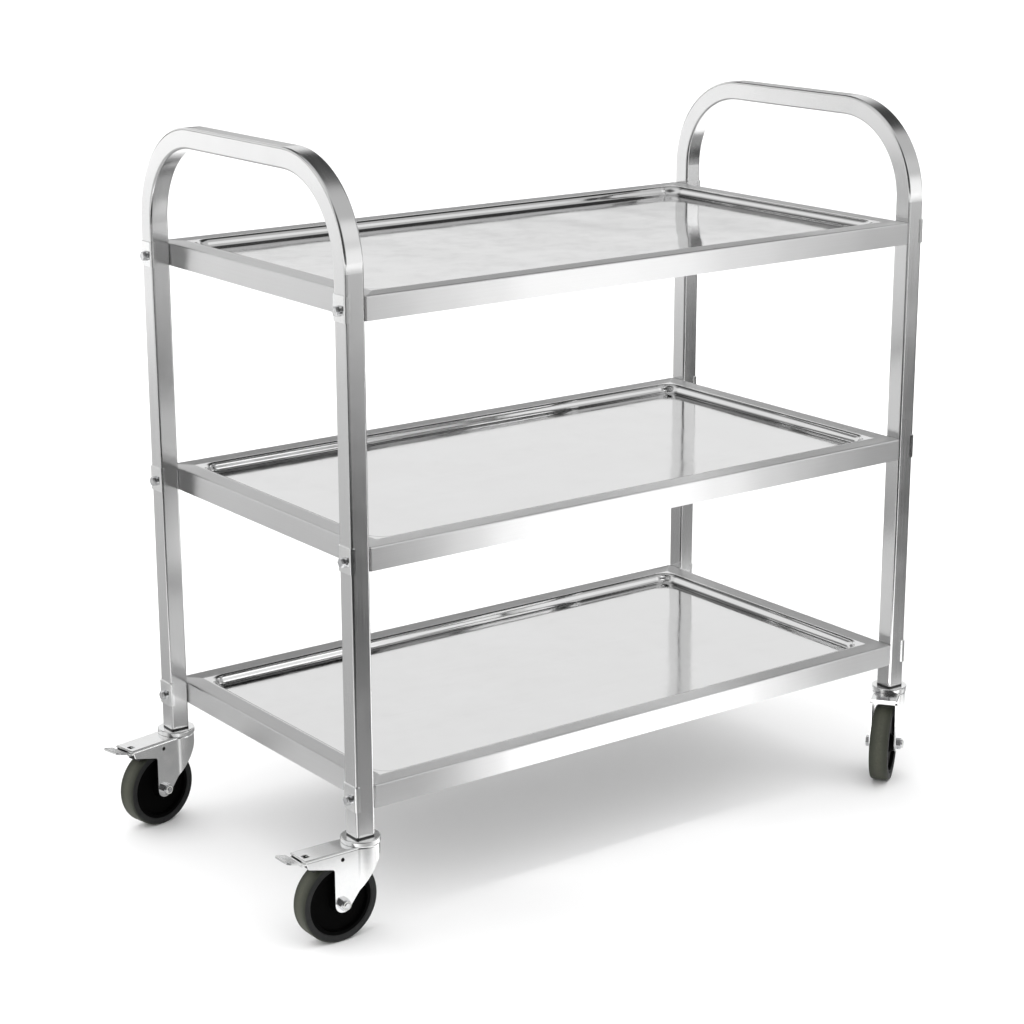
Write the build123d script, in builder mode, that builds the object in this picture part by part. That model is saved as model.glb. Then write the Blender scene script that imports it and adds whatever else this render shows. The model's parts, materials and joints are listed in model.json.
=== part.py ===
"""Three-tier stainless-steel serving trolley on four swivel casters.

Two inverted-U end frames of square tube carry three folded-sheet trays.
Every tray corner is bolted through its leg under a pressed saddle clip.
The left pair of casters has pedal brakes.

Frame: millimetres, +Z up, +X along the trolley away from the braked casters.
The origin is on the floor, under the middle of the whole trolley's outline.
"""
from build123d import *

import os
from math import cos, radians, sin

os.makedirs("parts", exist_ok=True)

# ---- overall size -------------------------------------------------------------------
frame_length = 875  # over the outer faces of the legs, along X
frame_width = 461  # over the outer faces of the legs, along Y
handle_top = 900
leg_bottom = 122  # underside of the legs, which is the height of a caster

# ---- end frames ---------------------------------------------------------------------
tube = 25
tube_wall = 1.2
tube_corner = 3
bend_radius = 125  # outside of the handle bends

# ---- shelves ------------------------------------------------------------------------
shelf_names = ("bottom", "middle", "top")
bottom_shelf_top = 181.5
shelf_pitch = 284
apron_height = 28
sheet = 1.0
fold_radius = 2.2
shelf_corner = 2
rim_width = 24
tray_depth = 11
tray_wall_slope = 25  # degrees from upright
tray_roll = 7  # radius of the rolled edges at the top and foot of the tray wall
tray_corner = 22
hem_width = 12
rib_length = 700
rib_width = 50
rib_crown = 26
rib_height = 12

# ---- clamp bolts and saddle clips ---------------------------------------------------
clip_height = 30
clip_thickness = 1.5
clip_arm = 5
clip_corner = 4
clip_rise = 2.4  # top of the clip above the shelf
bolt_drop = 15  # bolt centre below the shelf
bolt_radius = 3
bolt_head_across = 10
bolt_head_thickness = 4
washer_radius = 6
bolt_head_chamfer = 0.5
washer_thickness = 1.6
nut_thickness = 5
hole_clearance = 0.3
thread_clearance = 0.05
bolt_overrun = 2  # thread that shows past the nut
edge_round = 1  # on turned and forged ends

# ---- casters, measured from the swivel axis at the underside of the leg -------------
trail = 36  # wheel axle behind the swivel axis
wheel_radius = 50
axle_drop = leg_bottom - wheel_radius
tyre_width = 25
tyre_shoulder = 3
tyre_seat = 1.5  # height of the sidewall's slope up from the hub's rim
hub_radius = 41
hub_rim = 4
hub_rim_width = 23
hub_web_width = 15
hub_web_slope = 2
hub_rim_slope = 1
hub_boss_radius = 11
hub_boss_width = 29
running_clearance = 0.06

plug_flange = 2
plug_depth = 30
plug_clearance = 0.1

stem_radius = 6
stem_reach = 36  # stem inside the leg
stem_head_radius = 10
stem_head_thickness = 3
stem_head_gap = 0.5

race_radius = 23.5
race_thickness = 2
race_round = 1.5
race_gap = 0.3  # between what turns with the fork and what stays with the leg
dish_radius = 22.5
dish_blend = 7  # hollow corner where the round dish runs into the flat sides
ball_circle = 18
ball_radius = 2
ball_count = 20
groove_clearance = 0.06

fork_plate = 2.5
fork_top = -8
fork_half_width = 18
fork_boss = 10.9
fork_leg_corner = 4
fork_edge_round = 3
plain_tail = 50  # back end of the fork behind the swivel axis, without a brake
brake_tail = 84  # the same, with a brake
flange_root = -30.5  # where the side flange's lower edge meets the line of the axle
flange_tip = -18.7  # lowest point of the side flange, at its tail
flange_tip_run = 3
dish_front_depth = 6.5
slot_from_axis = 77
slot_length = 8
slot_width = 8.5
slot_off_centre = -3.5
slot_corner = 1.5

axle_radius = 4
sleeve_radius = 6
axle_hex_across = 13
axle_head_thickness = 5.3
axle_nut_thickness = 8
axle_nut_collar = 2.4  # round end of the nut, which holds the locking ring
axle_overrun = 1
axle_end_chamfer = 0.8

# ---- brake lever --------------------------------------------------------------------
pin_back = 36
pin_drop = 17.7
pin_radius = 2.5
pin_recess = 1.2  # from the fork's outer face to the pin's end
brake_travel = 10  # degrees from released to locked
lever_plate = 2
lever_half_width = 15
lever_top = -12
lever_eye_radius = 4.5
lever_ear_front = 42
lever_ear_back = 52
lever_heel = 89.4
pedal_start = 92
pedal_end = 108
pedal_start_height = -9.5
pedal_end_height = -5.5
pedal_corner = 6
shoe_half_width = 10
shoe_front = 58.5
shoe_back = 70.5
shoe_gap = 0.5  # left to the tyre with the brake locked

# ---- placing ------------------------------------------------------------------------
leg_inset = tube / 2
pedal_reach = pedal_end - leg_inset  # pedal tips stand out past the left legs
race_reach = race_radius - leg_inset  # caster races stand out past the right legs
middle_x = (pedal_reach - race_reach) / 2
leg_x = frame_length / 2 - leg_inset
leg_y = frame_width / 2 - leg_inset
end_x = {"left": middle_x - leg_x, "right": middle_x + leg_x}
outward = {"left": -1, "right": 1}
shelf_length = frame_length - 2 * tube
shelf_tops = {}
for level, shelf_name in enumerate(shelf_names):
    shelf_tops[shelf_name] = bottom_shelf_top + level * shelf_pitch

# each caster: side of the trolley, row, the way its fork points (degrees), brake or not
casters = {
    "front_left": ("left", -1, 0, True),
    "back_left": ("left", 1, 11, True),
    "front_right": ("right", -1, 37, False),
    "back_right": ("right", 1, -37, False),
}


def save(part, name):
    """Name a finished piece and write its STEP file."""
    part.label = name
    export_step(part, f"parts/{name}.step")


# ---- end frames: one bent square tube each, legs and handle in one piece -------------
for side, x in end_x.items():
    bend = bend_radius - leg_inset
    foot = (-leg_y, leg_bottom)
    ridge = handle_top - leg_inset
    with BuildPart() as end_frame:
        with BuildLine(Plane.YZ.offset(x)) as tube_path:
            FilletPolyline(foot, (-leg_y, ridge), (leg_y, ridge), (leg_y, leg_bottom), radius=bend)
        with BuildSketch(Plane.XY.offset(leg_bottom)) as tube_section:
            with Locations((x, -leg_y)):
                RectangleRounded(tube, tube, tube_corner)
                bore = tube - 2 * tube_wall
                RectangleRounded(bore, bore, tube_corner - tube_wall, mode=Mode.SUBTRACT)
        sweep(path=tube_path.line)
        for shelf_top in shelf_tops.values():
            with Locations(Plane.YZ.offset(x + leg_inset)):
                with Locations((-leg_y, shelf_top - bolt_drop), (leg_y, shelf_top - bolt_drop)):
                    Hole(bolt_radius + hole_clearance, depth=tube)
    save(end_frame.part, f"{side}_end_frame")

# ---- shelves: folded sheet with a pressed tray, aprons and a hem ---------------------
roll_run = tray_roll * sin(radians(90 - tray_wall_slope)) / (1 + cos(radians(90 - tray_wall_slope)))
mouth_length = shelf_length - 2 * (rim_width + roll_run)
mouth_width = frame_width - 2 * (rim_width + roll_run)

for shelf_name, shelf_top in shelf_tops.items():
    with BuildPart() as shelf:
        with BuildSketch(Plane.XY.offset(shelf_top)):
            with Locations((middle_x, 0)):
                RectangleRounded(shelf_length, frame_width, shelf_corner)
        extrude(amount=-apron_height)
        fillet(shelf.faces().sort_by(Axis.Z)[-1].edges(), fold_radius)
        with BuildSketch(Plane.XY.offset(shelf_top)):
            with Locations((middle_x, 0)):
                RectangleRounded(mouth_length, mouth_width, tray_corner)
        extrude(amount=-tray_depth, taper=tray_wall_slope, mode=Mode.SUBTRACT)
        tray_floor = shelf.faces().filter_by(Plane.XY).sort_by(Axis.Z)[1]
        mouth_edges = shelf.faces().filter_by(Plane.XY).sort_by(Axis.Z)[-1].inner_wires()[0].edges()
        fillet(tray_floor.edges() + mouth_edges, tray_roll)
        offset(amount=-sheet, openings=shelf.faces().sort_by(Axis.Z)[0])
        with BuildSketch(Plane.XY.offset(shelf_top - apron_height)):
            with Locations((middle_x, 0)):
                RectangleRounded(shelf_length, frame_width, shelf_corner)
                Rectangle(shelf_length - 2 * hem_width, frame_width - 2 * hem_width, mode=Mode.SUBTRACT)
        extrude(amount=sheet)
        for x in (middle_x - shelf_length / 2, middle_x + shelf_length / 2):
            with Locations(Plane.YZ.offset(x)):
                with Locations((-leg_y, shelf_top - bolt_drop), (leg_y, shelf_top - bolt_drop)):
                    Cylinder(bolt_radius + hole_clearance, 4 * sheet, mode=Mode.SUBTRACT)
    save(shelf.part, f"{shelf_name}_shelf")

    # a hat-section rib spot-welded under the tray keeps the sheet from drumming
    with BuildPart() as rib:
        rib_top = shelf_top - tray_depth - sheet
        with BuildSketch(Plane.YZ.offset(middle_x - rib_length / 2)):
            with BuildLine():
                crown = rib_crown / 2
                Polyline(
                    (-rib_width / 2, rib_top - sheet / 2),
                    (-crown - sheet, rib_top - sheet / 2),
                    (-crown, rib_top - rib_height),
                    (crown, rib_top - rib_height),
                    (crown + sheet, rib_top - sheet / 2),
                    (rib_width / 2, rib_top - sheet / 2),
                )
            trace(line_width=sheet)
        extrude(amount=rib_length)
    save(rib.part, f"{shelf_name}_shelf_rib")

# ---- saddle clips, bolts, washers and weld nuts, one group of each for every shelf ---
clip_across = tube + 2 * clip_thickness
for shelf_name, shelf_top in shelf_tops.items():
    bolt_height = shelf_top - bolt_drop
    clip_middle = shelf_top + clip_rise - clip_height / 2

    with BuildPart() as clips:
        for side, x in end_x.items():
            turn = outward[side]
            face_x = x + turn * leg_inset
            for y in (-leg_y, leg_y):
                with BuildSketch(Plane.XY.offset(clip_middle - clip_height / 2)):
                    with Locations((face_x + turn * (clip_thickness - clip_arm) / 2, y)):
                        Rectangle(clip_arm + clip_thickness, clip_across)
                    with Locations((x, y)):
                        RectangleRounded(tube, tube, tube_corner, mode=Mode.SUBTRACT)
                extrude(amount=clip_height)
        upright_edges = clips.edges().filter_by(Axis.Z).group_by(Axis.X)
        fillet(upright_edges[0] + upright_edges[-1], clip_corner)
        for side, x in end_x.items():
            for y in (-leg_y, leg_y):
                with Locations(Plane.YZ.offset(x + outward[side] * leg_inset)):
                    with Locations((y, bolt_height)):
                        Cylinder(bolt_radius + hole_clearance, 4 * clip_thickness, mode=Mode.SUBTRACT)
    save(clips.part, f"{shelf_name}_leg_clips")

    with BuildPart() as bolts:
        shank = clip_thickness + washer_thickness + tube + sheet + nut_thickness + bolt_overrun
        for side, x in end_x.items():
            turn = outward[side]
            head_x = x + turn * (leg_inset + clip_thickness + washer_thickness)
            for y in (-leg_y, leg_y):
                head_plane = Plane(origin=(head_x, y, bolt_height), x_dir=(0, 1, 0), z_dir=(turn, 0, 0))
                with BuildSketch(head_plane):
                    RegularPolygon(bolt_head_across / 2, 6, major_radius=False)
                extrude(amount=bolt_head_thickness)
                with BuildSketch(head_plane):
                    Circle(bolt_radius)
                extrude(amount=-shank)
        ends_along_x = bolts.faces().group_by(Axis.X)
        head_tops = ends_along_x[0] + ends_along_x[-1]
        chamfer(head_tops.edges(), bolt_head_chamfer)
    save(bolts.part, f"{shelf_name}_clamp_bolts")

    with BuildPart() as washers:
        for side, x in end_x.items():
            turn = outward[side]
            for y in (-leg_y, leg_y):
                seat = (x + turn * (leg_inset + clip_thickness), y, bolt_height)
                with BuildSketch(Plane(origin=seat, x_dir=(0, 1, 0), z_dir=(turn, 0, 0))):
                    Circle(washer_radius)
                    Circle(bolt_radius + hole_clearance, mode=Mode.SUBTRACT)
                extrude(amount=washer_thickness)
    save(washers.part, f"{shelf_name}_bolt_washers")

    with BuildPart() as nuts:
        for side, x in end_x.items():
            turn = outward[side]
            for y in (-leg_y, leg_y):
                seat = (x - turn * (leg_inset + sheet), y, bolt_height)
                with BuildSketch(Plane(origin=seat, x_dir=(0, 1, 0), z_dir=(-turn, 0, 0))):
                    RegularPolygon(bolt_head_across / 2, 6, major_radius=False)
                    Circle(bolt_radius + thread_clearance, mode=Mode.SUBTRACT)
                extrude(amount=nut_thickness)
    save(nuts.part, f"{shelf_name}_weld_nuts")

# ---- what holds the casters in the legs: plugs, stems and upper races ----------------
corners = []
for side, row, swing, braked in casters.values():
    corners.append((end_x[side], row * leg_y))

with BuildPart() as plugs:
    with BuildSketch(Plane.XY.offset(leg_bottom)):
        with Locations(*corners):
            inside = tube - 2 * (tube_wall + plug_clearance)
            RectangleRounded(inside, inside, tube_corner - tube_wall)
            Circle(stem_radius + thread_clearance, mode=Mode.SUBTRACT)
    extrude(amount=plug_depth)
    with BuildSketch(Plane.XY.offset(leg_bottom)):
        with Locations(*corners):
            RectangleRounded(tube, tube, tube_corner)
            Circle(stem_radius + thread_clearance, mode=Mode.SUBTRACT)
    extrude(amount=-plug_flange)
save(plugs.part, "leg_plugs")

stem_head_top = fork_top - fork_plate - stem_head_gap
with BuildPart() as stems:
    with BuildSketch(Plane.XY.offset(leg_bottom + stem_reach)):
        with Locations(*corners):
            Circle(stem_radius)
    extrude(amount=stem_head_top - stem_reach)
    chamfer(stems.faces().group_by(Axis.Z)[-1].edges(), edge_round)
    with BuildSketch(Plane.XY.offset(leg_bottom + stem_head_top)):
        with Locations(*corners):
            Circle(stem_head_radius)
    extrude(amount=-stem_head_thickness)
    fillet(stems.faces().group_by(Axis.Z)[0].edges(), edge_round)
save(stems.part, "caster_stems")

race_top = leg_bottom - plug_flange
race_foot = leg_bottom + fork_top + race_gap
with BuildPart() as races:
    with BuildSketch(Plane.XY.offset(race_top)):
        with Locations(*corners):
            Circle(race_radius)
            Circle(stem_radius + thread_clearance, mode=Mode.SUBTRACT)
    extrude(amount=race_foot - race_top)
    race_rims = races.faces().group_by(Axis.Z)[-1].edges().group_by(SortBy.RADIUS)[-1]
    fillet(race_rims, race_round)
    with BuildSketch(Plane.XY.offset(race_foot)):
        with Locations(*corners):
            Circle(race_radius - race_thickness)
    extrude(amount=race_top - race_thickness - race_foot, mode=Mode.SUBTRACT)
save(races.part, "caster_top_races")

# ---- caster pieces, made once about the swivel axis, with the fork trailing to -X ----
axle = (-trail, 0, -axle_drop)
axle_line = Axis(axle, (0, 1, 0))
wheel_plane = Plane(origin=axle, x_dir=(0, 1, 0), z_dir=(1, 0, 0))
ball_height = fork_top + ball_radius - race_gap
leg_back = -trail - fork_boss


def make_fork(braked):
    """Pressed fork: round ball dish in front, flat legs and tail behind."""
    tail = brake_tail if braked else plain_tail
    with BuildPart() as fork:
        with BuildSketch(Plane.XY.offset(fork_top)) as fork_outline:
            Circle(dish_radius)
            with Locations((-tail / 2 - fork_half_width / 2, 0)):
                Rectangle(tail + fork_half_width, 2 * fork_half_width)
            fillet(fork_outline.vertices().group_by(Axis.X)[1], dish_blend)
        extrude(amount=fork_top - axle_drop)
        fillet(fork.faces().sort_by(Axis.Z)[-1].edges(), fork_edge_round)
        with BuildSketch(Plane.XY.offset(fork_top - fork_plate)) as fork_hollow:
            Circle(dish_radius - fork_plate)
            with Locations((-tail / 2 - fork_half_width, 0)):
                Rectangle(tail + 2 * fork_half_width, 2 * (fork_half_width - fork_plate))
            fillet(fork_hollow.vertices().group_by(Axis.X)[1], dish_blend + fork_plate)
        extrude(amount=-2 * axle_drop, mode=Mode.SUBTRACT)

        with BuildSketch(Plane.XZ) as side_outline:
            with Locations((-trail, -axle_drop)):
                Circle(fork_boss)
            with BuildLine():
                Polyline(
                    (leg_back, fork_top),
                    (dish_radius, fork_top),
                    (dish_radius, fork_top - dish_front_depth),
                )
            make_hull()
            flange_edge = [(-tail + flange_tip_run, flange_tip)] if braked else []
            with BuildLine():
                Polyline(
                    (-trail, flange_root),
                    (-trail, fork_top),
                    (-tail, fork_top),
                    (-tail, fork_top - fork_plate),
                    *flange_edge,
                    close=True,
                )
            make_face()
            if braked:
                inner_corner = side_outline.vertices().sort_by_distance((leg_back, flange_root))[0]
                fillet(inner_corner, fork_leg_corner)
        extrude(amount=2 * dish_radius, both=True, mode=Mode.INTERSECT)

        with Locations((0, 0, fork_top)):
            Hole(stem_radius + hole_clearance, depth=2 * fork_plate)
        with Locations((0, 0, ball_height)):
            Torus(ball_circle, ball_radius + groove_clearance, mode=Mode.SUBTRACT)
        with Locations(Plane.XZ.offset(-fork_half_width)):
            with Locations((-trail, -axle_drop)):
                Hole(axle_radius + thread_clearance, depth=2 * fork_half_width)
            if braked:
                with Locations((-pin_back, -pin_drop)):
                    Hole(pin_radius, depth=2 * fork_half_width)
        if braked:
            with BuildSketch(Plane.XY.offset(fork_top)):
                with Locations((-slot_from_axis, slot_off_centre)):
                    RectangleRounded(slot_length, slot_width, slot_corner)
            extrude(amount=-fork_plate, mode=Mode.SUBTRACT)
    return fork.part


caster_pieces = {"plain_fork": make_fork(False), "braked_fork": make_fork(True)}

with BuildPart() as balls:
    with Locations((0, 0, ball_height)):
        with PolarLocations(ball_circle, ball_count):
            Sphere(ball_radius)
caster_pieces["race_balls"] = balls.part

nut_plane = Plane(origin=(-trail, -fork_half_width, -axle_drop), x_dir=(1, 0, 0), z_dir=(0, -1, 0))
head_plane = Plane(origin=(-trail, fork_half_width, -axle_drop), x_dir=(1, 0, 0), z_dir=(0, 1, 0))

with BuildPart() as axle_bolt:
    with BuildSketch(head_plane):
        RegularPolygon(axle_hex_across / 2, 6, major_radius=False)
    extrude(amount=axle_head_thickness)
    fillet(axle_bolt.faces().sort_by(Axis.Y)[-1].edges(), edge_round)
    with BuildSketch(head_plane):
        Circle(axle_radius)
    extrude(amount=-(2 * fork_half_width + axle_nut_thickness + axle_overrun))
    chamfer(axle_bolt.faces().sort_by(Axis.Y)[0].edges(), axle_end_chamfer)
caster_pieces["axle_bolt"] = axle_bolt.part

with BuildPart() as axle_nut:
    with BuildSketch(nut_plane):
        RegularPolygon(axle_hex_across / 2, 6, major_radius=False)
    extrude(amount=axle_nut_thickness - axle_nut_collar)
    with BuildSketch(nut_plane.offset(axle_nut_thickness - axle_nut_collar)):
        Circle(axle_hex_across / 2 - edge_round)
    extrude(amount=axle_nut_collar)
    fillet(axle_nut.faces().sort_by(Axis.Y)[0].edges(), edge_round)
    with Locations(nut_plane.offset(axle_nut_thickness)):
        Hole(axle_radius + thread_clearance, depth=axle_nut_thickness)
caster_pieces["axle_nut"] = axle_nut.part

with BuildPart() as sleeve:
    with BuildSketch(nut_plane.offset(-fork_plate)):
        Circle(sleeve_radius)
        Circle(axle_radius + thread_clearance, mode=Mode.SUBTRACT)
    extrude(amount=-2 * (fork_half_width - fork_plate))
caster_pieces["axle_sleeve"] = sleeve.part

with BuildPart() as hub:
    with BuildSketch(wheel_plane) as hub_half:
        with BuildLine():
            Polyline(
                (0, sleeve_radius + running_clearance),
                (hub_boss_width / 2, sleeve_radius + running_clearance),
                (hub_boss_width / 2, hub_boss_radius - edge_round),
                (hub_web_width / 2, hub_boss_radius + hub_web_slope),
                (hub_web_width / 2, hub_radius - hub_rim - hub_rim_slope),
                (hub_rim_width / 2, hub_radius - hub_rim),
                (hub_rim_width / 2, hub_radius),
                (0, hub_radius),
                close=True,
            )
        make_face()
        mirror(about=Plane.YZ)
    revolve(axis=axle_line)
caster_pieces["wheel_hub"] = hub.part

with BuildPart() as tyre:
    with BuildSketch(wheel_plane) as tyre_section:
        with BuildLine():
            Polyline(
                (-hub_rim_width / 2, hub_radius),
                (-tyre_width / 2, hub_radius + tyre_seat),
                (-tyre_width / 2, wheel_radius),
                (tyre_width / 2, wheel_radius),
                (tyre_width / 2, hub_radius + tyre_seat),
                (hub_rim_width / 2, hub_radius),
                close=True,
            )
        make_face()
        fillet(tyre_section.vertices().group_by(Axis.Y)[-1], tyre_shoulder)
    revolve(axis=axle_line)
caster_pieces["tyre"] = tyre.part

# ---- brake: a pedal lever on a cross pin, with a shoe over the back of the wheel -----
pin = (-pin_back, -pin_drop)

with BuildPart() as brake_pin:
    with BuildSketch(Plane.XZ.offset(-(fork_half_width - pin_recess))):
        with Locations(pin):
            Circle(pin_radius)
    extrude(amount=2 * (fork_half_width - pin_recess))
caster_pieces["brake_pin"] = brake_pin.part

with BuildPart() as lever:
    middle = lever_top - lever_plate / 2
    with BuildSketch(Plane.XZ):
        with BuildLine():
            FilletPolyline(
                (-lever_ear_front, middle),
                (-lever_heel, middle),
                (-pedal_start, pedal_start_height),
                (-pedal_end, pedal_end_height),
                radius=lever_plate,
            )
        trace(line_width=lever_plate)
    extrude(amount=lever_half_width, both=True)
    for ear_y in (-lever_half_width, lever_half_width - lever_plate):
        with BuildSketch(Plane.XZ.offset(-ear_y - lever_plate)):
            with Locations(pin):
                Circle(lever_eye_radius)
            with BuildLine():
                Line((-lever_ear_front, lever_top), (-lever_ear_back, lever_top))
            make_hull()
            with Locations(pin):
                Circle(pin_radius + running_clearance, mode=Mode.SUBTRACT)
        extrude(amount=lever_plate)
    pedal_tip = lever.faces().sort_by(Axis.X)[0]
    fillet(pedal_tip.edges().filter_by(Axis.Y, reverse=True), pedal_corner)
caster_pieces["brake_lever"] = lever.part

with BuildPart() as shoe:
    swing = radians(brake_travel)
    arm = axle_drop - pin_drop
    tyre_seen = (-pin_back - arm * sin(swing), -pin_drop - arm * cos(swing))
    with BuildSketch(Plane.XZ):
        with Locations((-(shoe_front + shoe_back) / 2, (lever_top - lever_plate + tyre_seen[1]) / 2)):
            Rectangle(shoe_back - shoe_front, lever_top - lever_plate - tyre_seen[1])
        with Locations(tyre_seen):
            Circle(wheel_radius + shoe_gap, mode=Mode.SUBTRACT)
    extrude(amount=shoe_half_width, both=True)
caster_pieces["brake_shoe"] = shoe.part

# ---- one set of caster pieces under each leg -----------------------------------------
wheel_set = ("race_balls", "axle_bolt", "axle_nut", "axle_sleeve", "wheel_hub", "tyre")
brake_set = ("brake_pin", "brake_lever", "brake_shoe")
for corner, (side, row, swing, braked) in casters.items():
    under_leg = Location((end_x[side], row * leg_y, leg_bottom), (0, 0, swing))
    fork_piece = caster_pieces["braked_fork" if braked else "plain_fork"]
    save(fork_piece.moved(under_leg), f"{corner}_fork")
    for piece in wheel_set + (brake_set if braked else ()):
        save(caster_pieces[piece].moved(under_leg), f"{corner}_{piece}")
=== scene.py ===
"""Looks for the three-tier stainless serving trolley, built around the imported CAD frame.

Every CAD piece stays where it is and gets a procedural material. The small pieces that
the frame doesn't hold, the lock nuts' nylon rings and the pedals' grip ridges, are
modelled here and ride on the same bodies. Lengths are in metres, angles in degrees.
"""

import json
from math import cos, pi, radians, sin

import bmesh
import bpy
from mathutils import Matrix, Vector


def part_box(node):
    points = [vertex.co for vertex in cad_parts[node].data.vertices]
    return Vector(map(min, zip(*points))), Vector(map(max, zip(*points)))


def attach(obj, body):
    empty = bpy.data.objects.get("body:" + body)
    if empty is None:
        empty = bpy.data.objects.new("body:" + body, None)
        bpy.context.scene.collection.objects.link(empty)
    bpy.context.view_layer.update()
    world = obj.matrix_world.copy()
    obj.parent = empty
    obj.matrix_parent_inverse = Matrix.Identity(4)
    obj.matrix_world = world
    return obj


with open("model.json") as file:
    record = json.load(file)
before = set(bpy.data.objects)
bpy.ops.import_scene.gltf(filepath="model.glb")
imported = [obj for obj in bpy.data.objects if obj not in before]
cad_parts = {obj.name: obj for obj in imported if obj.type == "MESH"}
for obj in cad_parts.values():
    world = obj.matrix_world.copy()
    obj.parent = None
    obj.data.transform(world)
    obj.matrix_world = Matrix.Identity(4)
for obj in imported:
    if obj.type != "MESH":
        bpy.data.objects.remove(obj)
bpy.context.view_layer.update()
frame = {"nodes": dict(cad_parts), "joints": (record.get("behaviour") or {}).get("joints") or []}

CORNERS = ("front_left", "back_left", "front_right", "back_right")


# ---- node helpers --------------------------------------------------------------------
class Nodes:
    """A node tree, with one call for each node."""

    def __init__(self, tree):
        self.tree = tree
        self.tree.nodes.clear()

    def add(self, kind, settings=None, **inputs):
        """Add a node; an input may be a value, a node (its first output) or an output socket."""
        node = self.tree.nodes.new(kind)
        for key, value in (settings or {}).items():
            setattr(node, key, value)
        for key, value in inputs.items():
            self.feed(node, key.replace("_", " "), value)
        return node

    def feed(self, node, key, value):
        socket = node.inputs[int(key)] if key.isdigit() else node.inputs[key]
        if isinstance(value, bpy.types.Node):
            value = value.outputs[0]
        if isinstance(value, bpy.types.NodeSocket):
            self.tree.links.new(value, socket)
        else:
            socket.default_value = value

    def math(self, operation, a, b=0.0, c=0.0):
        node = self.add("ShaderNodeMath", {"operation": operation})
        for index, value in enumerate((a, b, c)):
            self.feed(node, str(index), value)
        return node.outputs[0]

    def place(self):
        """Position on the object in metres, as a vector and as x, y and z."""
        where = self.add("ShaderNodeTexCoord").outputs["Object"]
        split = self.add("ShaderNodeSeparateXYZ", Vector=where)
        return where, split.outputs[0], split.outputs[1], split.outputs[2]

    def stretched(self, where, scale):
        return self.add("ShaderNodeMapping", Vector=where, Scale=scale).outputs[0]

    def noise(self, where, scale=1.0, detail=4.0, roughness=0.5, distortion=0.0):
        return self.add(
            "ShaderNodeTexNoise", {"noise_dimensions": "3D"}, Vector=where, Scale=scale,
            Detail=detail, Roughness=roughness, Distortion=distortion,
        ).outputs[0]

    def ranged(self, value, low, high, to_low, to_high, smooth=False):
        """Map value from low..high to to_low..to_high, clamped."""
        blend = {"interpolation_type": "SMOOTHSTEP" if smooth else "LINEAR"}
        node = self.add("ShaderNodeMapRange", blend, Value=value)
        for key, number in (("1", low), ("2", high), ("3", to_low), ("4", to_high)):
            self.feed(node, key, number)
        return node.outputs[0]

    def blended(self, factor, value_a, value_b):
        """Number between two others, by factor."""
        node = self.add("ShaderNodeMix", {"data_type": "FLOAT"}, Factor=factor)
        self.feed(node, "2", value_a)
        self.feed(node, "3", value_b)
        return node.outputs[0]

    def mixed(self, factor, colour_a, colour_b):
        """Colour between two others, by factor."""
        node = self.add("ShaderNodeMix", {"data_type": "RGBA"}, Factor=factor)
        self.feed(node, "6", colour_a)
        self.feed(node, "7", colour_b)
        return node.outputs[2]

    def vectors(self, operation, a, b=(0.0, 0.0, 0.0)):
        """Vector math: the result as a vector, or as a number where that is what comes out."""
        node = self.add("ShaderNodeVectorMath", {"operation": operation})
        self.feed(node, "0", a)
        self.feed(node, "1", b)
        return node.outputs["Value" if operation in ("DOT_PRODUCT", "LENGTH") else "Vector"]

    def vector(self, x=0.0, y=0.0, z=0.0):
        return self.add("ShaderNodeCombineXYZ", X=x, Y=y, Z=z).outputs[0]

    def bumped(self, height, strength, distance, normal=None):
        node = self.add("ShaderNodeBump", Strength=strength, Distance=distance, Height=height)
        if normal is not None:
            self.feed(node, "Normal", normal)
        return node.outputs[0]


class Recipe(Nodes):
    """A material with a Principled shader."""

    def __init__(self, name):
        self.material = bpy.data.materials.new(name)
        self.material.use_nodes = True
        super().__init__(self.material.node_tree)
        self.shader = self.add("ShaderNodeBsdfPrincipled")
        self.output = self.add("ShaderNodeOutputMaterial", Surface=self.shader)

    def finish(self, **inputs):
        for key, value in inputs.items():
            self.feed(self.shader, key.replace("_", " "), value)
        return self.material


def grey(level, warm=0.0):
    return (level * (1 + warm), level, level * (1 - warm), 1.0)


# ---- the frame's own measures --------------------------------------------------------
def box_of(node):
    """Lowest and highest corners of a CAD node, as vectors."""
    low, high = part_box(node)
    return Vector(low), Vector(high)


def joint_of(name):
    return next(joint for joint in frame["joints"] if joint["name"] == name)


def wheel_axle(corner):
    """Middle of a wheel and the way its axle points, from nut to head."""
    joint = joint_of(corner + "_wheel_spin")
    return Vector(joint["pos_m"]), Vector(joint["axis"]).normalized()


handle_high = box_of("left_end_frame")[1]
shelf_low, shelf_high = box_of("top_shelf")
BEND = 0.125  # outer radius of the handle bends
BEND_SIDE = handle_high.y - BEND
BEND_LEVEL = handle_high.z - BEND
RIM = 0.024
TRAY_MIDDLE = (shelf_low + shelf_high) / 2
TRAY_HALF_LENGTH = (shelf_high.x - shelf_low.x) / 2 - RIM
TRAY_HALF_WIDTH = (shelf_high.y - shelf_low.y) / 2 - RIM
WHEEL_RADIUS = 0.050
NUT_FACE = 0.026  # from the wheel's middle to the outer face of its lock nut
PEDAL_LEVEL = -0.0072  # of the first ridge, under the swivel joint's place
PEDAL_SLOPE = 0.25
RIDGE_REACHES = (0.0965, 0.1000, 0.1035)  # behind the swivel axis
RIDGE_HALF_LENGTH = 0.010
RIDGE_RADIUS = 0.0007
RIDGE_END_STEPS = 6
FINE, COARSE = 1500.0, 8.0  # brushed lines: across the grain, along it


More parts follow.
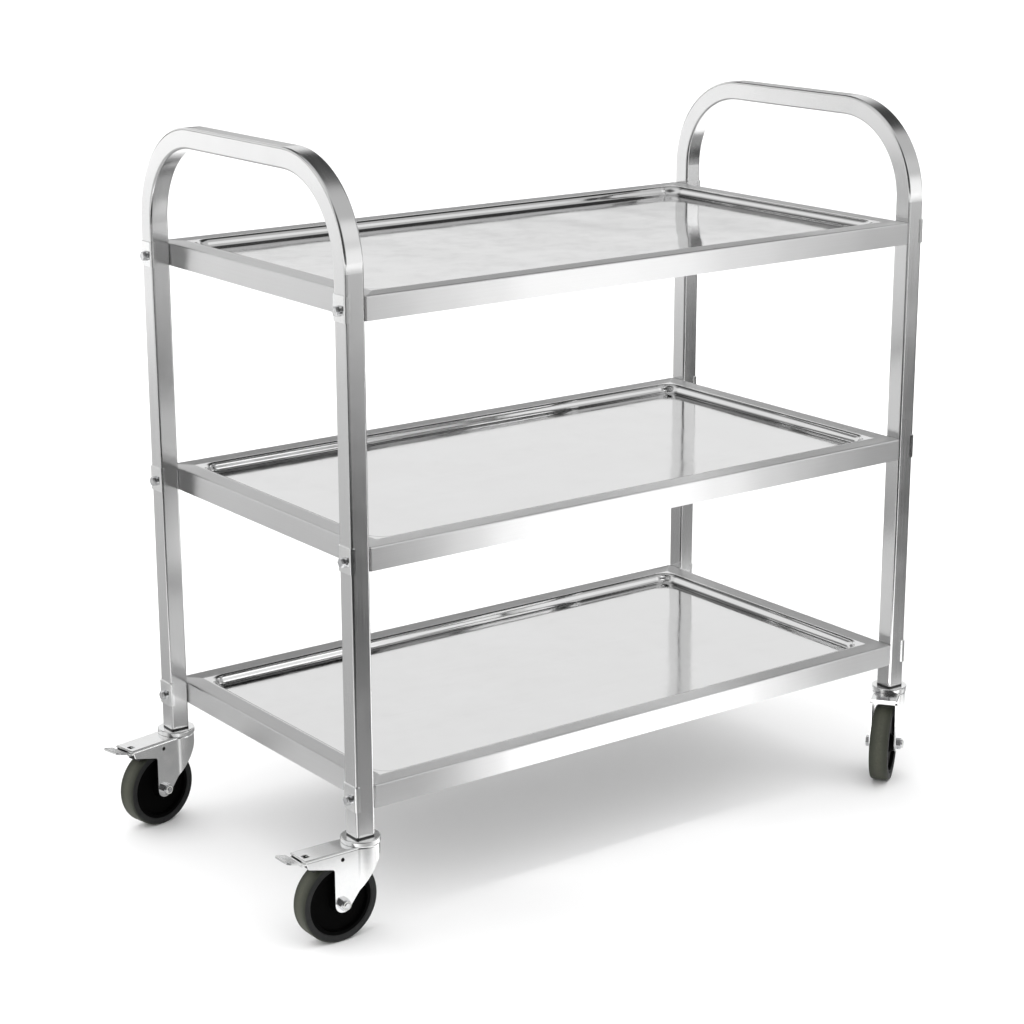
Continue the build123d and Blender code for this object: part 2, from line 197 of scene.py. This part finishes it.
# ---- materials: stainless steel ------------------------------------------------------
def steel(recipe, lines, where, tone, roughness, anisotropy, tangent, grain=0.03):
    """Shared look of ground stainless: fine lines, cloudy tone, fingermarks in the gloss."""
    r = recipe
    clouds = r.noise(where, scale=9.0, detail=3.0)
    smears = r.noise(where, scale=16.0, detail=3.0, roughness=0.6)
    shade = r.math("ADD", r.ranged(lines, 0.3, 0.7, 0.0, 0.7), r.ranged(clouds, 0.3, 0.7, 0.0, 0.3))
    colour = r.mixed(shade, grey(tone * 0.96, 0.003), grey(tone * 1.03, -0.003))
    gloss = r.math("ADD", r.ranged(lines, 0.25, 0.75, roughness * 0.85, roughness * 1.15),
                   r.ranged(smears, 0.5, 0.8, 0.0, roughness * 0.2))
    normal = r.bumped(lines, grain, 0.0001)
    return r.finish(
        Base_Color=colour, Metallic=1.0, Roughness=gloss, Anisotropic=anisotropy,
        Tangent=tangent, Normal=normal,
    )


def facing(recipe):
    return recipe.add("ShaderNodeNewGeometry").outputs["Normal"]


def tube_steel():
    """Square tube ground lengthwise: the lines follow the legs, the bends and the handle."""
    r = Recipe("brushed_tube")
    where, x, y, z = r.place()
    side = r.math("MAXIMUM", r.math("SUBTRACT", r.math("ABSOLUTE", y), BEND_SIDE), 0.0)
    side = r.math("MULTIPLY", side, r.math("SIGN", y))
    rise = r.math("MAXIMUM", r.math("SUBTRACT", z, BEND_LEVEL), 0.0)
    radius = r.math("SQRT", r.math("ADD", r.math("POWER", side, 2.0), r.math("POWER", rise, 2.0)))
    along = r.math("ADD", r.math("MULTIPLY", z, 6.0), r.math("MULTIPLY", y, 6.0))
    across = r.vector(r.math("MULTIPLY", x, FINE), r.math("MULTIPLY", radius, FINE), along)
    lines = r.noise(across, detail=3.0, roughness=0.6)
    lengthwise = r.vector(0.0, r.math("MULTIPLY", rise, -1.0), side)
    tangent = r.vectors("CROSS_PRODUCT", facing(r), lengthwise)
    return steel(r, lines, where, 0.82, 0.19, 0.7, tangent, grain=0.02)


def sheet_steel():
    """Shelf sheet: ground rims and aprons around a bright pressed tray."""
    r = Recipe("bright_sheet")
    where, x, y, z = r.place()
    off_middle = r.math("ABSOLUTE", r.math("SUBTRACT", x, TRAY_MIDDLE.x))
    from_end = r.math("SUBTRACT", TRAY_HALF_LENGTH, off_middle)
    from_side = r.math("SUBTRACT", TRAY_HALF_WIDTH, r.math("ABSOLUTE", y))
    inside = r.ranged(r.math("MINIMUM", from_end, from_side), -0.001, 0.001, 0.0, 1.0)
    on_end = r.ranged(r.math("SUBTRACT", from_end, from_side), -0.001, 0.001, 1.0, 0.0)
    on_end = r.math("MULTIPLY", on_end, r.math("SUBTRACT", 1.0, inside))
    across_end = r.noise(r.stretched(where, (FINE, COARSE, FINE)), detail=3.0, roughness=0.6)
    across_side = r.noise(r.stretched(where, (COARSE, FINE, FINE)), detail=3.0, roughness=0.6)
    lines = r.blended(on_end, across_side, across_end)
    lengthwise = r.vector(r.math("SUBTRACT", 1.0, on_end), on_end, 0.0)
    tangent = r.vectors("CROSS_PRODUCT", facing(r), lengthwise)
    clouds = r.noise(where, scale=9.0, detail=3.0)
    smears = r.noise(where, scale=30.0, detail=6.0, roughness=0.7)
    scuffs = r.noise(r.stretched(where, (60.0, 420.0, 60.0)), detail=4.0, roughness=0.7, distortion=0.4)
    upward = r.add("ShaderNodeSeparateXYZ", Vector=facing(r)).outputs[2]
    duller_rim = r.ranged(upward, 0.9, 0.99, 0.0, 0.12)
    ground = r.math("ADD", r.ranged(lines, 0.25, 0.75, 0.28, 0.33), duller_rim)
    scuffed = r.ranged(scuffs, 0.62, 0.8, 0.0, 0.10)
    bright = r.math("ADD", r.ranged(smears, 0.45, 0.8, 0.07, 0.13), scuffed)
    gloss = r.blended(inside, ground, bright)
    shade = r.math("ADD", r.ranged(lines, 0.3, 0.7, 0.0, 0.6), r.ranged(clouds, 0.3, 0.7, 0.0, 0.4))
    colour = r.mixed(shade, grey(0.78, 0.003), grey(0.83, -0.003))
    normal = r.bumped(lines, 0.02, 0.0001)
    swell = r.noise(r.stretched(where, (9.0, 5.0, 5.0)), detail=1.0)
    normal = r.bumped(swell, 0.25, 0.0035, normal)
    return r.finish(
        Base_Color=colour, Metallic=1.0, Roughness=gloss, Anisotropic=0.9,
        Tangent=tangent, Normal=normal,
    )


def plated_steel():
    """Bright zinc on pressed caster parts: faint crystals, thin handling marks."""
    r = Recipe("bright_zinc")
    where = r.place()[0]
    cells = r.add("ShaderNodeTexVoronoi", {"feature": "F1"}, Vector=where, Scale=420.0)
    crystals = cells.outputs["Distance"]
    clouds = r.noise(where, scale=60.0, detail=4.0)
    marks = r.noise(r.stretched(where, (900.0, 900.0, 120.0)), detail=5.0, roughness=0.7)
    shade = r.math("ADD", r.ranged(crystals, 0.1, 0.6, 0.0, 0.4), r.ranged(clouds, 0.3, 0.7, 0.0, 0.6))
    colour = r.mixed(shade, (0.88, 0.89, 0.90, 1.0), (0.97, 0.97, 0.96, 1.0))
    gloss = r.math("ADD", r.ranged(clouds, 0.3, 0.7, 0.14, 0.22), r.ranged(marks, 0.6, 0.8, 0.0, 0.12))
    normal = r.bumped(marks, 0.05, 0.0002, r.bumped(clouds, 0.12, 0.0006))
    return r.finish(Base_Color=colour, Metallic=1.0, Roughness=gloss, Normal=normal)


def turned_steel():
    """Bolts, nuts, washers and axles: rolled metal with small dents and a darker film."""
    r = Recipe("bolt_steel")
    where = r.place()[0]
    film = r.noise(where, scale=220.0, detail=5.0, roughness=0.65)
    dents = r.noise(where, scale=700.0, detail=2.0)
    colour = r.mixed(r.ranged(film, 0.35, 0.7, 0.0, 1.0), grey(0.82), (0.6, 0.61, 0.63, 1.0))
    gloss = r.ranged(film, 0.3, 0.7, 0.16, 0.3)
    normal = r.bumped(dents, 0.15, 0.0002)
    return r.finish(Base_Color=colour, Metallic=1.0, Roughness=gloss, Normal=normal)


def ball_steel():
    """Hardened balls under a thin film of grease."""
    r = Recipe("ball_steel")
    where = r.place()[0]
    film = r.noise(where, scale=900.0, detail=3.0)
    colour = r.mixed(r.ranged(film, 0.4, 0.7, 0.0, 1.0), grey(0.78), (0.55, 0.5, 0.42, 1.0))
    return r.finish(Base_Color=colour, Metallic=1.0, Roughness=r.ranged(film, 0.3, 0.7, 0.08, 0.2))


def blackened_steel():
    """Oil-blackened cross pins."""
    r = Recipe("blackened_steel")
    where = r.place()[0]
    film = r.noise(where, scale=500.0, detail=4.0)
    colour = r.mixed(r.ranged(film, 0.35, 0.7, 0.0, 1.0), grey(0.02), grey(0.06, 0.05))
    return r.finish(Base_Color=colour, Metallic=1.0, Roughness=r.ranged(film, 0.3, 0.7, 0.35, 0.55))


# ---- materials: plastic and rubber ---------------------------------------------------
def black_plastic(name, level, low_gloss, high_gloss, pits, shine=0.5):
    """Moulded black plastic with a fine spark-eroded skin and scattered patches of paler dust."""
    r = Recipe(name)
    where = r.place()[0]
    skin = r.noise(where, scale=pits, detail=3.0, roughness=0.6)
    dust = r.noise(where, scale=55.0, detail=6.0, roughness=0.7)
    colour = r.mixed(r.ranged(dust, 0.5, 0.8, 0.0, 0.35), grey(level), grey(level * 3.5, 0.04))
    gloss = r.ranged(skin, 0.3, 0.7, low_gloss, high_gloss)
    normal = r.bumped(skin, 0.2, 0.0002)
    return r.finish(Base_Color=colour, Roughness=gloss, Specular_IOR_Level=shine, Normal=normal)


def tyre_rubber(corner):
    """Grey-green tread, worn paler along its middle, and a darker sidewall with mould rings."""
    r = Recipe(corner + "_tyre_rubber")
    where = r.place()[0]
    axle_point, axle_way = wheel_axle(corner)
    offset = r.vectors("SUBTRACT", where, axle_point)
    along = r.math("ABSOLUTE", r.vectors("DOT_PRODUCT", offset, axle_way))
    reach = r.vectors("LENGTH", offset)
    square = r.math("SUBTRACT", r.math("POWER", reach, 2.0), r.math("POWER", along, 2.0))
    radius = r.math("SQRT", r.math("MAXIMUM", square, 0.0))
    tread = r.ranged(radius, WHEEL_RADIUS - 0.0022, WHEEL_RADIUS - 0.0006, 0.0, 1.0)
    worn = r.ranged(along, 0.002, 0.009, 1.0, 0.0)
    specks = r.noise(where, scale=300.0, detail=6.0, roughness=0.7)
    dust = r.noise(where, scale=40.0, detail=5.0, roughness=0.65)
    dusty = r.ranged(dust, 0.35, 0.75, 0.0, 1.0)
    wall = r.mixed(dusty, (0.011, 0.011, 0.012, 1.0), (0.021, 0.022, 0.021, 1.0))
    crown = r.mixed(r.math("MULTIPLY", worn, r.ranged(specks, 0.3, 0.7, 0.3, 1.0)),
                    (0.038, 0.041, 0.030, 1.0), (0.078, 0.081, 0.060, 1.0))
    colour = r.mixed(tread, wall, crown)
    gloss = r.ranged(specks, 0.3, 0.7, 0.5, 0.72)
    ring_pitch = 0.0015
    rings = r.math("SINE", r.math("MULTIPLY", radius, 2 * pi / ring_pitch))
    normal = r.bumped(specks, 0.25, 0.0003, r.bumped(rings, 0.12, 0.0001))
    return r.finish(Base_Color=colour, Roughness=gloss, Specular_IOR_Level=0.3, Normal=normal)


def finishes():
    """One material for each look; tyres get one each, set by their axle."""
    return {
        "frame_steel": tube_steel(),
        "shelf_steel": sheet_steel(),
        "zinc_steel": plated_steel(),
        "bolt_steel": turned_steel(),
        "bearing_steel": ball_steel(),
        "plug_plastic": black_plastic("plug_plastic", 0.012, 0.35, 0.5, 900.0),
        "hub_plastic": black_plastic("hub_plastic", 0.001, 0.45, 0.62, 1200.0, 0.03),
        "pin_steel": blackened_steel(),
        "shoe_rubber": black_plastic("shoe_rubber", 0.018, 0.6, 0.8, 500.0),
    }


def look_of(node):
    """The name of a node's look, by the words in the node's name."""
    words = (
        ("brake_pin", "pin_steel"), ("end_frame", "frame_steel"), ("shelf", "shelf_steel"),
        ("balls", "bearing_steel"), ("plugs", "plug_plastic"), ("hub", "hub_plastic"),
        ("shoe", "shoe_rubber"), ("bolt", "bolt_steel"), ("nut", "bolt_steel"),
        ("washer", "bolt_steel"), ("sleeve", "bolt_steel"), ("stems", "bolt_steel"),
    )
    for word, look in words:
        if word in node:
            return look
    return "zinc_steel"


def dress(piece, material):
    piece.data.materials.clear()
    piece.data.materials.append(material)


looks = finishes()
for node, piece in frame["nodes"].items():
    if node.endswith("_tyre"):
        dress(piece, tyre_rubber(node[:-len("_tyre")]))
    else:
        dress(piece, looks[look_of(node)])


# ---- small pieces that ride on the casters ---------------------------------------------
def lathe(name, profile, place, steps=48, closed=False):
    """Turn a profile of (radius, height) points about the place's Z axis."""
    mesh = bmesh.new()
    rings = []
    for step in range(steps):
        angle = 2 * pi * step / steps
        ring = []
        for radius, height in profile:
            ring.append(mesh.verts.new((radius * cos(angle), radius * sin(angle), height)))
        rings.append(ring)
    spans = len(profile) if closed else len(profile) - 1
    for step, ring in enumerate(rings):
        after = rings[(step + 1) % steps]
        for i in range(spans):
            j = (i + 1) % len(profile)
            mesh.faces.new((ring[i], after[i], after[j], ring[j]))
    bmesh.ops.remove_doubles(mesh, verts=mesh.verts, dist=1e-7)
    bmesh.ops.recalc_face_normals(mesh, faces=mesh.faces)
    for face in mesh.faces:
        face.smooth = True
    mesh.transform(place)
    data = bpy.data.meshes.new(name)
    mesh.to_mesh(data)
    mesh.free()
    piece = bpy.data.objects.new(name, data)
    bpy.context.scene.collection.objects.link(piece)
    return piece


def facing_along(point, way):
    """Placement at a point with local Z along a direction."""
    return Matrix.Translation(point) @ Vector(way).to_track_quat("Z", "Y").to_matrix().to_4x4()


def nylon():
    """Pale nylon, slightly cloudy."""
    r = Recipe("nylon")
    cloud = r.noise(r.place()[0], scale=600.0, detail=3.0)
    colour = r.mixed(cloud, (0.62, 0.63, 0.60, 1.0), (0.78, 0.78, 0.74, 1.0))
    gloss = r.ranged(cloud, 0.3, 0.7, 0.3, 0.45)
    return r.finish(Base_Color=colour, Roughness=gloss, Normal=r.bumped(cloud, 0.1, 0.0001))


def locking_ring(corner, material):
    """Nylon ring in the round end of the axle's lock nut, a little proud of the steel."""
    middle, way = wheel_axle(corner)
    face = middle - way * NUT_FACE
    profile = (
        (0.0042, -0.0004), (0.0042, 0.0002), (0.0045, 0.0004),
        (0.0048, 0.0004), (0.0051, 0.0002), (0.0051, -0.0004),
    )
    ring = lathe(corner + "_locking_ring", profile, facing_along(face, -way), closed=True)
    dress(ring, material)
    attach(ring, corner + "_caster")


def ridge_profile():
    """Half outline of a round-ended bar, from one tip to the other."""
    half, radius = RIDGE_HALF_LENGTH, RIDGE_RADIUS
    quarter = []
    for step in range(RIDGE_END_STEPS + 1):
        angle = pi / 2 * step / RIDGE_END_STEPS
        quarter.append((radius * sin(angle), half - radius + radius * cos(angle)))
    return [(reach, -height) for reach, height in quarter] + quarter[::-1]


def pedal_ridges(corner, material):
    """Three pressed grip ridges across a brake pedal."""
    pivot = Vector(joint_of(corner + "_swivel")["pos_m"])
    middle, way = wheel_axle(corner)
    back = (middle - pivot) * Vector((1, 1, 0))
    back.normalize()
    for number, reach in enumerate(RIDGE_REACHES, start=1):
        height = PEDAL_LEVEL + (reach - RIDGE_REACHES[0]) * PEDAL_SLOPE
        point = pivot + back * reach + Vector((0, 0, height))
        name = f"{corner}_pedal_ridge_{number}"
        ridge = lathe(name, ridge_profile(), facing_along(point, way), steps=24)
        dress(ridge, material)
        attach(ridge, corner + "_brake")


ring_nylon = nylon()
for corner in CORNERS:
    locking_ring(corner, ring_nylon)
    if corner.endswith("left"):
        pedal_ridges(corner, looks["zinc_steel"])


# ---- stage ---------------------------------------------------------------------------
def paper_floor():
    bpy.ops.mesh.primitive_plane_add(size=60)
    floor = bpy.context.object
    floor.name = "floor"
    r = Recipe("paper")
    fibre = r.noise(r.place()[0], scale=3.0, detail=4.0)
    dress(floor, r.finish(Base_Color=r.mixed(fibre, grey(0.88), grey(0.9)), Roughness=0.9))


def card(name, low, high, paint):
    """A card lying on the floor, seen only in reflections: a glowing sheet that paints reflections onto the
    steel; paint gives its cover and its glowing grey.
    """
    bpy.ops.mesh.primitive_plane_add(size=1)
    piece = bpy.context.object
    piece.name = name
    piece.scale = (high[0] - low[0], high[1] - low[1], 1)
    piece.location = ((low[0] + high[0]) / 2, (low[1] + high[1]) / 2, CARD_LEVEL)
    bpy.ops.object.transform_apply(location=True, rotation=False, scale=True)
    piece.visible_camera = False
    piece.visible_diffuse = False
    piece.visible_shadow = False
    r = Recipe(name)
    r.tree.nodes.remove(r.shader)
    cover, level = paint(r, *r.place()[1:3])
    colour = r.add("ShaderNodeCombineColor", Red=level, Green=level, Blue=level)
    blend = r.add("ShaderNodeMixShader", Fac=cover)
    r.feed(blend, "1", r.add("ShaderNodeBsdfTransparent"))
    # the card glows rather than being lit: its emission is a painted reflection for the steel
    r.feed(blend, "2", r.add("ShaderNodeEmission", Color=colour))
    r.feed(r.output, "Surface", blend)
    dress(piece, r.material)


def front_flags(r, x, y):
    """Painted reflections: dark on both sides of a glowing white lane that leads away to the front right.
    """
    near = r.math("MAXIMUM", r.ranged(y, *FLAG_EDGE, 1.0, 0.0), r.ranged(x, *FLAG_CORNER, 0.0, 1.0))
    across = r.math("DIVIDE", r.math("ADD", x, LANE_EYE[0]), r.math("SUBTRACT", LANE_EYE[1], y))
    left = r.ranged(across, *LANE_LEFT, 1.0, 0.0)
    right = r.ranged(across, *LANE_RIGHT, 0.0, 1.0)
    flag = r.math("MAXIMUM", left, right)
    clear = r.math("SUBTRACT", 1.0, flag)
    dark = r.math("ADD", r.ranged(y, *FLAG_NEAR, *FLAG_NEAR_GREYS), r.ranged(y, *FLAG_FAR, *FLAG_FAR_GREYS))
    lane = r.math("MULTIPLY", clear, r.ranged(y, *LANE_FADE, *LANE_LIGHT))
    return r.math("MAXIMUM", near, clear), r.math("ADD", r.math("MULTIPLY", flag, dark), lane)


def side_flag(r, x, y):
    """Painted reflections: pale grey behind and to the left, running on further at the far left, and
    painted shade under the trolley; white beyond.
    """
    reach = r.vectors("LENGTH", r.vectors("SUBTRACT", r.vector(x, y), (*SIDE_EYE, 0.0)))
    beside = r.ranged(x, -0.62, -0.45, 1.0, 0.0)
    behind = r.ranged(y, 0.35, 0.55, 0.0, 1.0)
    # painted shade: a grey patch under the trolley, where the floor lies in shade, for the steel to reflect
    under = r.math("MULTIPLY", r.ranged(y, -0.19, -0.12, 0.0, 1.0), r.ranged(x, -0.45, -0.38, 0.0, 1.0))
    behind = r.math("MULTIPLY", r.math("MAXIMUM", behind, under), r.ranged(x, 0.1, 0.4, 1.0, 0.0))
    fade = r.ranged(reach, *SIDE_FADE, 1.0, 0.0)
    far_left = r.ranged(r.math("ADD", x, r.math("MULTIPLY", y, 0.8)), -0.35, 0.15, 1.0, 0.0)
    shaded = r.math("MAXIMUM", fade, far_left)
    level = r.math("MULTIPLY", r.ranged(reach, 0.6, 2.8, *SIDE_GREYS), r.ranged(x, -0.75, -0.20, 1.0, 0.55))
    return r.math("MAXIMUM", beside, behind), r.blended(shaded, FAR_LIGHT, level)


def way(azimuth, elevation):
    """Unit vector; azimuth in degrees from +Y toward +X, elevation above the floor."""
    flat = cos(radians(elevation))
    return (flat * sin(radians(azimuth)), flat * cos(radians(azimuth)), sin(radians(elevation)))


def studio_world():
    """A plain backdrop for the camera; soft boxes and dark gaps for the reflections."""
    world = bpy.data.worlds.new("studio")
    bpy.context.scene.world = world
    world.use_nodes = True
    r = Nodes(world.node_tree)
    seen = r.add("ShaderNodeTexCoord").outputs["Generated"]

    def lobe(azimuth, elevation, inner, outer):
        closeness = r.vectors("DOT_PRODUCT", seen, way(azimuth, elevation))
        edges = (cos(radians(outer)), cos(radians(inner)))
        return r.ranged(closeness, *edges, 0.0, 1.0, smooth=True)

    def painted(level, boxes):
        for azimuth, elevation, inner, outer, target in boxes:
            level = r.blended(lobe(azimuth, elevation, inner, outer), level, target)
        return level

    height = r.add("ShaderNodeSeparateXYZ", Vector=seen).outputs[2]
    level = painted(BASE_LIGHT, BACK_BOXES)
    for angles, greys in ((HORIZON, HORIZON_GREYS), (BACK_TOP, BACK_TOP_GREYS)):
        heights = (sin(radians(angle)) for angle in angles)
        level = r.math("MULTIPLY", level, r.ranged(height, *heights, *greys))
    level = painted(level, SOFT_BOXES)
    reflected = r.add("ShaderNodeBackground", Color=(1, 1, 1, 1), Strength=level)
    plain = r.add("ShaderNodeBackground", Color=(1, 1, 1, 1), Strength=BACKDROP)
    to_camera = r.add("ShaderNodeLightPath").outputs["Is Camera Ray"]
    blend = r.add("ShaderNodeMixShader", Fac=to_camera)
    r.feed(blend, "1", reflected)
    r.feed(blend, "2", plain)
    r.add("ShaderNodeOutputWorld", Surface=blend)


def overhead_light():
    """One very soft light from above for the floor and rubber, kept out of reflections."""
    lamp = bpy.data.lights.new("overhead", "SUN")
    lamp.energy = OVERHEAD
    lamp.angle = radians(OVERHEAD_WIDTH)
    light = bpy.data.objects.new("overhead", lamp)
    light.rotation_euler = [radians(angle) for angle in OVERHEAD_TILT]
    light.visible_glossy = False
    bpy.context.scene.collection.objects.link(light)


def photo_camera():
    """The camera fitted to the photograph."""
    camera_data = bpy.data.cameras.new("camera")
    camera_data.lens = CAMERA_LENS
    camera_data.sensor_width = 36
    camera = bpy.data.objects.new("camera", camera_data)
    bpy.context.scene.collection.objects.link(camera)
    bpy.context.scene.camera = camera
    turn = Matrix.Rotation(-CAMERA_HEADING, 4, "Z")
    nod = Matrix.Rotation(pi / 2 - CAMERA_DIP, 4, "X")
    roll = Matrix.Rotation(CAMERA_ROLL, 4, "Z")
    camera.matrix_world = Matrix.Translation(CAMERA_PLACE) @ turn @ nod @ roll


# brightness of the camera's own backdrop, of the plain sky and of the light on the floor
BACKDROP = 1.05
BASE_LIGHT = 0.34
OVERHEAD = 3.8
OVERHEAD_WIDTH = 150
OVERHEAD_TILT = (-12, -14, 0)
# the sky behind is darker close to the horizon and high up; each pair is where it changes
HORIZON, HORIZON_GREYS = (6.5, 9.0), (0.22, 1.0)
BACK_TOP, BACK_TOP_GREYS = (26, 38), (1.0, 0.3)
# each box: azimuth, elevation, full inside and gone outside (degrees), brightness reached
BACK_BOXES = (
    (26, 12, 28, 46, 0.90),
    (-28, 12, 28, 46, 0.90),
    (32, 58, 22, 34, 0.15),
)
SOFT_BOXES = (
    (-20, 82, 18, 34, 0.55),
    (-100, 25, 35, 52, 0.75),
    (152, 30, 40, 65, 0.55),
    (80, 46, 10, 20, 0.04),
    (146, 26, 6, 14, 0.95),
    (140, 4, 6, 14, 1.3),
    (216, 5, 30, 60, 0.05),
)
# front card, which paints reflections: its edge under the trolley, the greys of its dark parts, and the
# white lane, which is a wedge from the camera's mirror image in the front aprons
FLAG_EDGE = (-0.50, -0.40)
FLAG_CORNER = (0.72, 0.80)
FLAG_NEAR, FLAG_NEAR_GREYS = (-1.15, -0.6), (0.02, 0.28)
FLAG_FAR, FLAG_FAR_GREYS = (-3.6, -1.8), (0.38, 0.0)
LANE_EYE = (1.79, 1.97)
LANE_LEFT = (0.68, 0.76)
LANE_RIGHT = (0.88, 0.97)
LANE_FADE, LANE_LIGHT = (-1.2, -0.6), (1.45, 2.1)
# side card, which paints reflections: greys that grow paler away from the left casters, then white, with
# painted shade under the trolley
SIDE_EYE = (-0.45, -0.1)
SIDE_FADE = (2.8, 3.8)
SIDE_GREYS = (0.49, 0.68)
FAR_LIGHT = 1.06
CARD_LEVEL = 0.002
CARDS_MEET = -0.2
CAMERA_PLACE = (-1.79029, -2.42531, 1.24554)
CAMERA_HEADING, CAMERA_DIP, CAMERA_ROLL = 0.6348, 0.2760, -0.0027  # radians
CAMERA_LENS = 86.03

paper_floor()
card("front_card", (-8.0, -8.2), (8.0, CARDS_MEET), front_flags)
card("side_card", (-7.0, CARDS_MEET), (0.4, 6.5), side_flag)
studio_world()
overhead_light()
photo_camera()
bpy.context.scene.view_settings.view_transform = "Standard"
